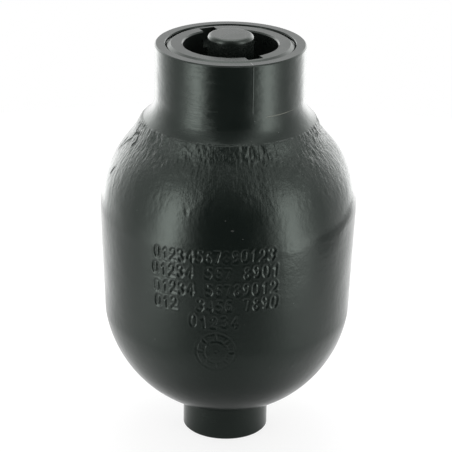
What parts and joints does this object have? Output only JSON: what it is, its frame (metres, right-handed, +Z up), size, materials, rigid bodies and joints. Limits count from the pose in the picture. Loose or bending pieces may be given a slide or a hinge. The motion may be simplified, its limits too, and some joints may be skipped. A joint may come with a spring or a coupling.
{
  "type": "bladder accumulator",
  "caption": "Small hydraulic bladder accumulator: forged steel vessel with a screwed fluid port below, rubber gas bag, ring nut, gas valve and cap.",
  "frame": {"origin": "centre of the bottom face of the fluid boss, on which the part stands", "axes": "+Z up along the vessel's axis, from the fluid port to the gas valve; -Y is the side with the stamp"},
  "size_m": [0.1208, 0.1208, 0.1984],
  "materials": {
    "painted_vessel": "satin black paint over a forged skin",
    "blackened_steel": "black finish over turned steel",
    "phosphated_steel": "dark phosphated, turned",
    "brass": "turned brass",
    "spring_steel": "drawn wire",
    "button_steel": "turned",
    "bag_rubber": "moulded nitrile rubber, matt",
    "seal_rubber": "moulded nitrile rubber",
    "backup_plastic": "off-white fluoropolymer"
  },
  "bodies": {
    "vessel": {"shell": "painted_vessel", "ring_nut": "blackened_steel", "closing_plate": "phosphated_steel", "plate_o_ring": "seal_rubber", "plate_backup_ring": "backup_plastic", "bladder": "bag_rubber", "gas_valve_body": "phosphated_steel", "gas_valve_o_ring": "seal_rubber", "valve_core_barrel": "brass", "valve_core_gasket": "seal_rubber", "valve_core_spring": "spring_steel", "valve_seal_cap": "brass", "valve_seal_cap_gasket": "seal_rubber", "protective_cap": "blackened_steel", "protective_cap_o_ring": "seal_rubber"},
    "bladder_button": {"bladder_button": "button_steel"},
    "core_pin": {"valve_core_pin": "brass", "valve_core_cup": "brass", "valve_core_seat_seal": "seal_rubber"}
  },
  "joints": [
    {"name": "bladder_lift", "type": "slide", "parent": "vessel", "child": "bladder_button", "axis": [0, 0, 1], "range_m": [0, 0.045], "stiffness_N_per_m": 60, "deforming": ["bladder"]},
    {"name": "core_pin_push", "type": "slide", "parent": "vessel", "child": "core_pin", "axis": [0, 0, -1], "range_m": [0, 0.0012], "stiffness_N_per_m": 400, "deforming": ["valve_core_spring"]}
  ]
}
